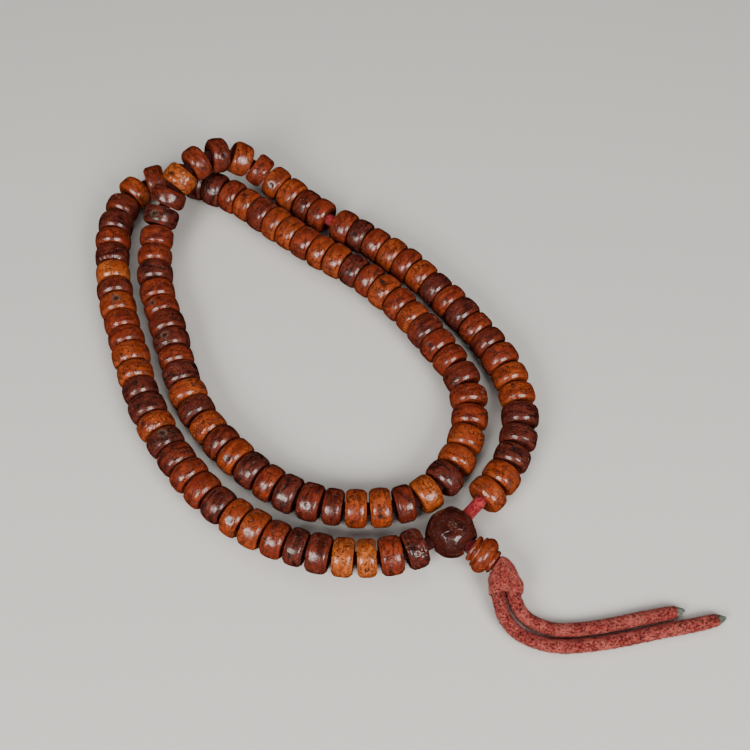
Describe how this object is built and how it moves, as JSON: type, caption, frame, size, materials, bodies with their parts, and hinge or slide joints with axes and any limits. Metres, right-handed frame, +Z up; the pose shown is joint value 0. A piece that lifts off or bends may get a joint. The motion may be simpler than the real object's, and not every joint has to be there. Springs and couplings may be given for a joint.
{
  "type": "mala prayer beads",
  "caption": "String of polished seed prayer beads doubled in a loop, with a guru bead, a turned stupa bead and a red suede knot and tails.",
  "frame": {"origin": "middle of the outline of everything but the free tails, on the surface it lies on", "axes": "+Z up from the surface; the guru bead is towards +X and -Y; the tails lie out towards +X"},
  "size_m": [0.1751, 0.1547, 0.022],
  "materials": {
    "seed_polished": "natural seed, polished, glossy",
    "guru_seed": "polished dark seed, glossy",
    "stupa_wood": "turned and polished",
    "cord_suede": "soft suede cord, matt",
    "hood_suede": "brushed suede, matt",
    "tail_suede": "fuzzy suede, matt",
    "tip_stiffened": "fibre stiffened with hard wax or glue, semi-gloss"
  },
  "bodies": {
    "strung_loop": {"string_loop": "cord_suede", "guru_bead": "guru_seed", "beads_049_to_078": "seed_polished", "beads_079_to_108": "seed_polished"},
    "pendant": {"neck_cord": "cord_suede", "cord_knot": "cord_suede", "knot_hood": "hood_suede", "tail_long": "tail_suede", "tail_short": "tail_suede", "tip_long": "tip_stiffened", "tip_short": "tip_stiffened"},
    "stupa_bead": {"stupa_bead": "stupa_wood"},
    "bead_001": {"bead_001": "seed_polished"},
    "bead_002": {"bead_002": "seed_polished"},
    "bead_003": {"bead_003": "seed_polished"},
    "bead_004": {"bead_004": "seed_polished"},
    "bead_005": {"bead_005": "seed_polished"},
    "bead_006": {"bead_006": "seed_polished"},
    "bead_007": {"bead_007": "seed_polished"},
    "bead_008": {"bead_008": "seed_polished"},
    "bead_009": {"bead_009": "seed_polished"},
    "bead_010": {"bead_010": "seed_polished"},
    "bead_011": {"bead_011": "seed_polished"},
    "bead_012": {"bead_012": "seed_polished"},
    "bead_013": {"bead_013": "seed_polished"},
    "bead_014": {"bead_014": "seed_polished"},
    "bead_015": {"bead_015": "seed_polished"},
    "bead_016": {"bead_016": "seed_polished"},
    "bead_017": {"bead_017": "seed_polished"},
    "bead_018": {"bead_018": "seed_polished"},
    "bead_019": {"bead_019": "seed_polished"},
    "bead_020": {"bead_020": "seed_polished"},
    "bead_021": {"bead_021": "seed_polished"},
    "bead_022": {"bead_022": "seed_polished"},
    "bead_023": {"bead_023": "seed_polished"},
    "bead_024": {"bead_024": "seed_polished"},
    "bead_025": {"bead_025": "seed_polished"},
    "bead_026": {"bead_026": "seed_polished"},
    "bead_027": {"bead_027": "seed_polished"},
    "bead_028": {"bead_028": "seed_polished"},
    "bead_029": {"bead_029": "seed_polished"},
    "bead_030": {"bead_030": "seed_polished"},
    "bead_031": {"bead_031": "seed_polished"},
    "bead_032": {"bead_032": "seed_polished"},
    "bead_033": {"bead_033": "seed_polished"},
    "bead_034": {"bead_034": "seed_polished"},
    "bead_035": {"bead_035": "seed_polished"},
    "bead_036": {"bead_036": "seed_polished"},
    "bead_037": {"bead_037": "seed_polished"},
    "bead_038": {"bead_038": "seed_polished"},
    "bead_039": {"bead_039": "seed_polished"},
    "bead_040": {"bead_040": "seed_polished"},
    "bead_041": {"bead_041": "seed_polished"},
    "bead_042": {"bead_042": "seed_polished"},
    "bead_043": {"bead_043": "seed_polished"},
    "bead_044": {"bead_044": "seed_polished"},
    "bead_045": {"bead_045": "seed_polished"},
    "bead_046": {"bead_046": "seed_polished"},
    "bead_047": {"bead_047": "seed_polished"},
    "bead_048": {"bead_048": "seed_polished"}
  },
  "joints": [
    {"name": "pendant_swing", "type": "hinge", "parent": "strung_loop", "child": "pendant", "pos_m": [0.04475, -0.05733, 0.00535], "axis": [0, 0, 1], "range_deg": [-6, 6]},
    {"name": "stupa_spin", "type": "hinge", "parent": "pendant", "child": "stupa_bead", "pos_m": [0.04823, -0.05985, 0.00524], "axis": [0.8087, -0.5876, -0.0262], "continuous": true},
    {"name": "bead_001_slide", "type": "slide", "parent": "strung_loop", "child": "bead_001", "axis": [0.7028, 0.7114, 0], "range_m": [-0.0044, 0]},
    {"name": "bead_019_slide", "type": "slide", "parent": "strung_loop", "child": "bead_019", "axis": [-0.8459, 0.5334, 0], "range_m": [0, 0.0023]},
    {"name": "bead_002_spin", "type": "hinge", "parent": "strung_loop", "child": "bead_002", "pos_m": [0.05399, -0.03832, 0.00551], "axis": [0.5727, 0.8198, 0], "continuous": true},
    {"name": "bead_003_spin", "type": "hinge", "parent": "strung_loop", "child": "bead_003", "pos_m": [0.05724, -0.03267, 0.00551], "axis": [0.4157, 0.9095, 0], "continuous": true},
    {"name": "bead_004_spin", "type": "hinge", "parent": "strung_loop", "child": "bead_004", "pos_m": [0.05934, -0.0268, 0.00551], "axis": [0.2536, 0.9673, 0], "continuous": true},
    {"name": "bead_005_spin", "type": "hinge", "parent": "strung_loop", "child": "bead_005", "pos_m": [0.06025, -0.02034, 0.00551], "axis": [0.0358, 0.9994, 0], "continuous": true},
    {"name": "bead_006_spin", "type": "hinge", "parent": "strung_loop", "child": "bead_006", "pos_m": [0.0598, -0.01377, 0.00551], "axis": [-0.1813, 0.9834, 0], "continuous": true},
    {"name": "bead_007_spin", "type": "hinge", "parent": "strung_loop", "child": "bead_007", "pos_m": [0.05824, -0.00782, 0.00551], "axis": [-0.3284, 0.9445, 0], "continuous": true},
    {"name": "bead_008_spin", "type": "hinge", "parent": "strung_loop", "child": "bead_008", "pos_m": [0.05569, -0.00201, 0.00551], "axis": [-0.4667, 0.8844, 0], "continuous": true},
    {"name": "bead_009_spin", "type": "hinge", "parent": "strung_loop", "child": "bead_009", "pos_m": [0.05257, 0.00334, 0.00551], "axis": [-0.5443, 0.8389, 0], "continuous": true},
    {"name": "bead_010_spin", "type": "hinge", "parent": "strung_loop", "child": "bead_010", "pos_m": [0.04921, 0.00808, 0.00551], "axis": [-0.6114, 0.7913, 0], "continuous": true},
    {"name": "bead_011_spin", "type": "hinge", "parent": "strung_loop", "child": "bead_011", "pos_m": [0.04549, 0.01282, 0.00551], "axis": [-0.6228, 0.7824, 0], "continuous": true},
    {"name": "bead_012_spin", "type": "hinge", "parent": "strung_loop", "child": "bead_012", "pos_m": [0.04181, 0.01736, 0.00551], "axis": [-0.637, 0.7709, 0], "continuous": true},
    {"name": "bead_013_spin", "type": "hinge", "parent": "strung_loop", "child": "bead_013", "pos_m": [0.03805, 0.02169, 0.00551], "axis": [-0.6726, 0.74, 0], "continuous": true},
    {"name": "bead_014_spin", "type": "hinge", "parent": "strung_loop", "child": "bead_014", "pos_m": [0.03385, 0.02611, 0.00551], "axis": [-0.7035, 0.7107, 0], "continuous": true},
    {"name": "bead_015_spin", "type": "hinge", "parent": "strung_loop", "child": "bead_015", "pos_m": [0.02963, 0.03018, 0.00551], "axis": [-0.7388, 0.674, 0], "continuous": true},
    {"name": "bead_016_spin", "type": "hinge", "parent": "strung_loop", "child": "bead_016", "pos_m": [0.02521, 0.03399, 0.00551], "axis": [-0.7731, 0.6343, 0], "continuous": true},
    {"name": "bead_017_spin", "type": "hinge", "parent": "strung_loop", "child": "bead_017", "pos_m": [0.02035, 0.03776, 0.00551], "axis": [-0.8064, 0.5913, 0], "continuous": true},
    {"name": "bead_018_spin", "type": "hinge", "parent": "strung_loop", "child": "bead_018", "pos_m": [0.01557, 0.04103, 0.00551], "axis": [-0.8464, 0.5326, 0], "continuous": true},
    {"name": "bead_020_spin", "type": "hinge", "parent": "strung_loop", "child": "bead_020", "pos_m": [0.0034, 0.04905, 0.00544], "axis": [-0.8115, 0.5841, -0.0146], "continuous": true},
    {"name": "bead_021_spin", "type": "hinge", "parent": "strung_loop", "child": "bead_021", "pos_m": [-0.00122, 0.05246, 0.00547], "axis": [-0.7963, 0.6044, 0.0257], "continuous": true},
    {"name": "bead_022_spin", "type": "hinge", "parent": "strung_loop", "child": "bead_022", "pos_m": [-0.00597, 0.05633, 0.00583], "axis": [-0.754, 0.6515, 0.0844], "continuous": true},
    {"name": "bead_023_spin", "type": "hinge", "parent": "strung_loop", "child": "bead_023", "pos_m": [-0.01099, 0.06039, 0.00687], "axis": [-0.7752, 0.5858, 0.2364], "continuous": true},
    {"name": "bead_024_spin", "type": "hinge", "parent": "strung_loop", "child": "bead_024", "pos_m": [-0.01611, 0.06362, 0.00919], "axis": [-0.787, 0.4008, 0.469], "continuous": true},
    {"name": "bead_025_spin", "type": "hinge", "parent": "strung_loop", "child": "bead_025", "pos_m": [-0.02203, 0.0652, 0.01273], "axis": [-0.8565, 0.0643, 0.5122], "continuous": true},
    {"name": "bead_026_spin", "type": "hinge", "parent": "strung_loop", "child": "bead_026", "pos_m": [-0.02857, 0.06401, 0.01584], "axis": [-0.87, -0.3878, 0.3046], "continuous": true},
    {"name": "bead_027_spin", "type": "hinge", "parent": "strung_loop", "child": "bead_027", "pos_m": [-0.03448, 0.06026, 0.01675], "axis": [-0.7571, -0.6503, -0.063], "continuous": true},
    {"name": "bead_028_spin", "type": "hinge", "parent": "strung_loop", "child": "bead_028", "pos_m": [-0.03936, 0.0554, 0.01534], "axis": [-0.6153, -0.7156, -0.3307], "continuous": true},
    {"name": "bead_029_spin", "type": "hinge", "parent": "strung_loop", "child": "bead_029", "pos_m": [-0.04293, 0.05049, 0.01257], "axis": [-0.434, -0.7472, -0.5034], "continuous": true},
    {"name": "bead_030_spin", "type": "hinge", "parent": "strung_loop", "child": "bead_030", "pos_m": [-0.04515, 0.04515, 0.00963], "axis": [-0.2527, -0.881, -0.4001], "continuous": true},
    {"name": "bead_031_spin", "type": "hinge", "parent": "strung_loop", "child": "bead_031", "pos_m": [-0.04625, 0.03891, 0.00738], "axis": [-0.0725, -0.9616, -0.2647], "continuous": true},
    {"name": "bead_032_spin", "type": "hinge", "parent": "strung_loop", "child": "bead_032", "pos_m": [-0.04636, 0.0327, 0.00616], "axis": [0.0462, -0.993, -0.1091], "continuous": true},
    {"name": "bead_033_spin", "type": "hinge", "parent": "strung_loop", "child": "bead_033", "pos_m": [-0.04578, 0.02658, 0.0057], "axis": [0.1376, -0.9896, -0.0423], "continuous": true},
    {"name": "bead_034_spin", "type": "hinge", "parent": "strung_loop", "child": "bead_034", "pos_m": [-0.04448, 0.02034, 0.0055], "axis": [0.2697, -0.9627, -0.0202], "continuous": true},
    {"name": "bead_035_spin", "type": "hinge", "parent": "strung_loop", "child": "bead_035", "pos_m": [-0.04263, 0.0147, 0.00546], "axis": [0.3622, -0.9321, 0.0074], "continuous": true},
    {"name": "bead_036_spin", "type": "hinge", "parent": "strung_loop", "child": "bead_036", "pos_m": [-0.04056, 0.00919, 0.00549], "axis": [0.3415, -0.9399, 0.0053], "continuous": true},
    {"name": "bead_037_spin", "type": "hinge", "parent": "strung_loop", "child": "bead_037", "pos_m": [-0.03863, 0.00345, 0.00551], "axis": [0.2929, -0.9561, 0], "continuous": true},
    {"name": "bead_038_spin", "type": "hinge", "parent": "strung_loop", "child": "bead_038", "pos_m": [-0.03692, -0.00199, 0.00551], "axis": [0.3059, -0.9521, 0], "continuous": true},
    {"name": "bead_039_spin", "type": "hinge", "parent": "strung_loop", "child": "bead_039", "pos_m": [-0.03492, -0.0076, 0.00551], "axis": [0.3618, -0.9323, 0], "continuous": true},
    {"name": "bead_040_spin", "type": "hinge", "parent": "strung_loop", "child": "bead_040", "pos_m": [-0.03251, -0.01329, 0.00551], "axis": [0.4207, -0.9072, 0], "continuous": true},
    {"name": "bead_041_spin", "type": "hinge", "parent": "strung_loop", "child": "bead_041", "pos_m": [-0.02966, -0.01853, 0.00551], "axis": [0.5333, -0.8459, 0], "continuous": true},
    {"name": "bead_042_spin", "type": "hinge", "parent": "strung_loop", "child": "bead_042", "pos_m": [-0.026, -0.02357, 0.00551], "axis": [0.636, -0.7717, 0], "continuous": true},
    {"name": "bead_043_spin", "type": "hinge", "parent": "strung_loop", "child": "bead_043", "pos_m": [-0.022, -0.02816, 0.00551], "axis": [0.6794, -0.7338, 0], "continuous": true},
    {"name": "bead_044_spin", "type": "hinge", "parent": "strung_loop", "child": "bead_044", "pos_m": [-0.01793, -0.0323, 0.00551], "axis": [0.7211, -0.6929, 0], "continuous": true},
    {"name": "bead_045_spin", "type": "hinge", "parent": "strung_loop", "child": "bead_045", "pos_m": [-0.01328, -0.03638, 0.00551], "axis": [0.7784, -0.6277, 0], "continuous": true},
    {"name": "bead_046_spin", "type": "hinge", "parent": "strung_loop", "child": "bead_046", "pos_m": [-0.00836, -0.04001, 0.00551], "axis": [0.8315, -0.5555, 0], "continuous": true},
    {"name": "bead_047_spin", "type": "hinge", "parent": "strung_loop", "child": "bead_047", "pos_m": [-0.0031, -0.04301, 0.00551], "axis": [0.8996, -0.4368, 0], "continuous": true},
    {"name": "bead_048_spin", "type": "hinge", "parent": "strung_loop", "child": "bead_048", "pos_m": [0.00293, -0.04536, 0.00551], "axis": [0.9567, -0.291, 0], "continuous": true}
  ]
}
